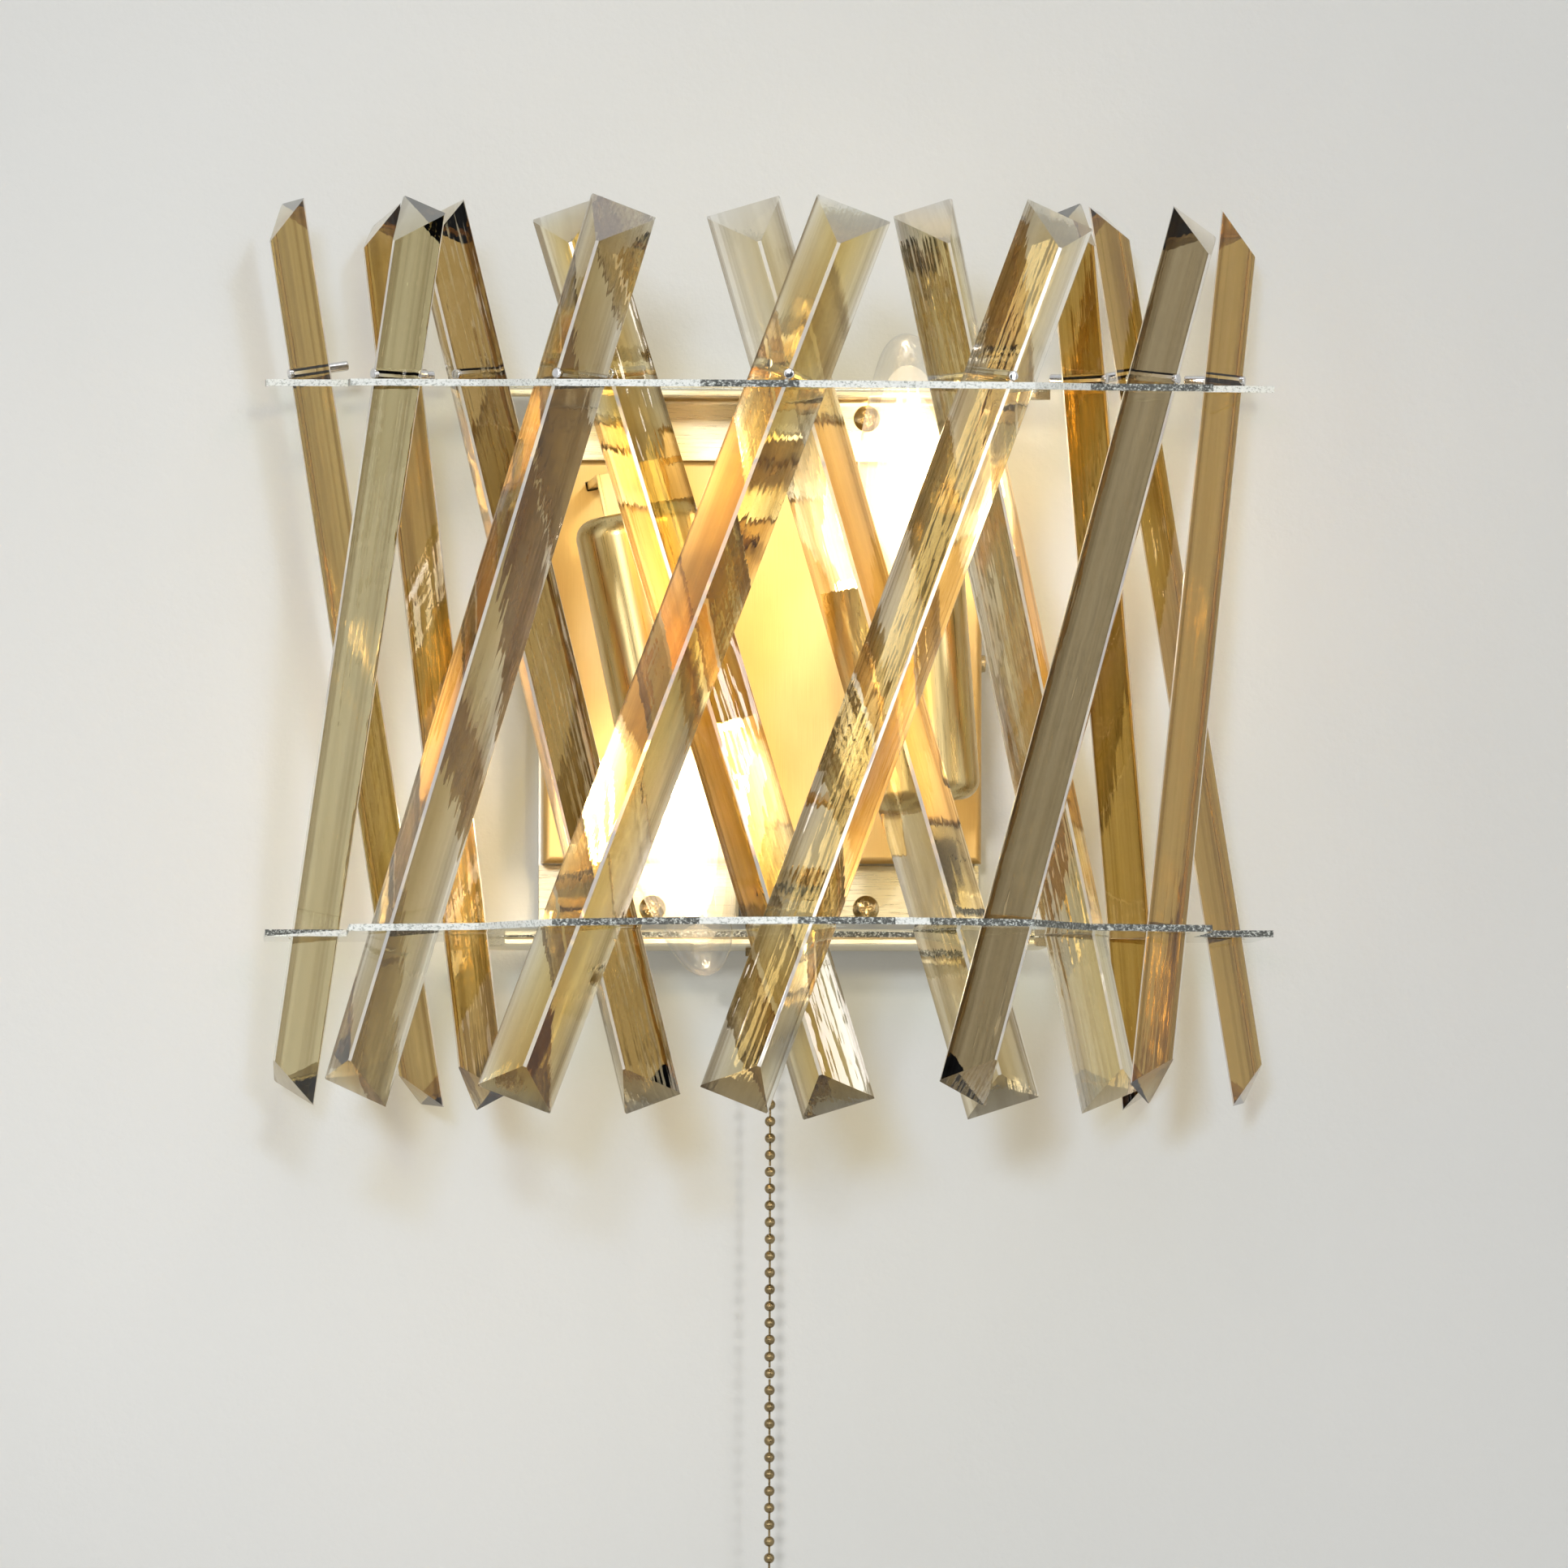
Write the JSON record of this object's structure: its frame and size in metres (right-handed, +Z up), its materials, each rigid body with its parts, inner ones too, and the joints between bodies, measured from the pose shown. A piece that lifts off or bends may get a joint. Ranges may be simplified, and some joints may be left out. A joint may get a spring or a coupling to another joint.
{
  "type": "wall sconce",
  "caption": "Wall light with long faceted crystal bars that cross in rows through glass shelves round candle lamps, on a brass cover, with a bead pull chain.",
  "frame": {"origin": "middle of the wall plate's back face, on the wall", "axes": "+X to the right seen from the front, +Y into the wall, +Z up"},
  "size_m": [0.3, 0.1538, 0.4274],
  "materials": {
    "crystal": "polished champagne tinted crystal",
    "plate_glass": "polished clear glass with ground edges",
    "bulb_glass": "clear blown glass",
    "light_sticks": "yellow coated light sticks",
    "brushed_brass": "brushed lacquered brass",
    "satin_brass": "satin brass",
    "brass_screws": "plain brass",
    "antique_brass": "antique brass",
    "polished_steel": "polished steel",
    "plated_steel": "zinc plated steel",
    "bulb_cap_metal": "plain",
    "white_plastic": "matt white heat proof plastic",
    "black_plastic": "matt black",
    "black_rubber": "matt"
  },
  "bodies": {
    "sconce": {"outer_crystal_1": "crystal", "outer_crystal_2": "crystal", "outer_crystal_3": "crystal", "outer_crystal_4": "crystal", "outer_crystal_5": "crystal", "outer_crystal_6": "crystal", "outer_crystal_7": "crystal", "inner_crystal_1": "crystal", "inner_crystal_2": "crystal", "inner_crystal_3": "crystal", "inner_crystal_4": "crystal", "inner_crystal_5": "crystal", "inner_crystal_6": "crystal", "inner_crystal_7": "crystal", "upper_glass_plate": "plate_glass", "lower_glass_plate": "plate_glass", "left_bulb_glass": "bulb_glass", "right_bulb_glass": "bulb_glass", "left_bulb_filaments": "light_sticks", "right_bulb_filaments": "light_sticks", "wiring_cover": "brushed_brass", "upper_bracket": "brushed_brass", "lower_bracket": "brushed_brass", "left_lamp_sleeve": "satin_brass", "right_lamp_sleeve": "satin_brass", "left_lamp_arm": "satin_brass", "right_lamp_arm": "satin_brass", "bracket_screws": "brass_screws", "plate_screws": "brass_screws", "plate_washers": "brass_screws", "plate_nuts": "brass_screws", "cover_side_screws": "brass_screws", "arm_screws": "brass_screws", "earth_screw": "brass_screws", "switch_bush": "antique_brass", "switch_nut": "antique_brass", "hanging_pins": "polished_steel", "wall_plate": "plated_steel", "left_bulb_cap": "bulb_cap_metal", "right_bulb_cap": "bulb_cap_metal", "left_lamp_socket": "white_plastic", "right_lamp_socket": "white_plastic", "terminal_block": "white_plastic", "pull_switch": "black_plastic", "cable_grommet": "black_rubber"},
    "pull": {"pull_link": "antique_brass"},
    "upper_bead": {"upper_bending_bead": "antique_brass"},
    "upper_length": {"upper_chain": "antique_brass"},
    "middle_bead": {"middle_bending_bead": "antique_brass"},
    "middle_length": {"middle_chain": "antique_brass"},
    "lower_bead": {"lower_bending_bead": "antique_brass"},
    "lower_length": {"lower_chain": "antique_brass", "pull_knob": "antique_brass"}
  },
  "joints": [
    {"name": "chain_pull", "type": "slide", "parent": "sconce", "child": "pull", "axis": [0, -0.0532, -0.9986], "range_m": [0, 0.01], "stiffness_N_per_m": 300},
    {"name": "upper_bead_sideways", "type": "hinge", "parent": "pull", "child": "upper_bead", "pos_m": [0.0015, -0.03049, -0.09269], "axis": [0, 1, 0], "range_deg": [-35, 35]},
    {"name": "upper_chain_in_and_out", "type": "hinge", "parent": "upper_bead", "child": "upper_length", "pos_m": [0.0015, -0.03049, -0.09269], "axis": [1, 0, 0], "range_deg": [-35, 3]},
    {"name": "middle_bead_sideways", "type": "hinge", "parent": "upper_length", "child": "middle_bead", "pos_m": [0.0015, -0.03049, -0.15317], "axis": [0, 1, 0], "range_deg": [-20, 20]},
    {"name": "middle_chain_in_and_out", "type": "hinge", "parent": "middle_bead", "child": "middle_length", "pos_m": [0.0015, -0.03049, -0.15317], "axis": [1, 0, 0], "range_deg": [-20, 3]},
    {"name": "lower_bead_sideways", "type": "hinge", "parent": "middle_length", "child": "lower_bead", "pos_m": [0.0015, -0.03049, -0.21365], "axis": [0, 1, 0], "range_deg": [-20, 20]},
    {"name": "lower_chain_in_and_out", "type": "hinge", "parent": "lower_bead", "child": "lower_length", "pos_m": [0.0015, -0.03049, -0.21365], "axis": [1, 0, 0], "range_deg": [-20, 5]}
  ]
}
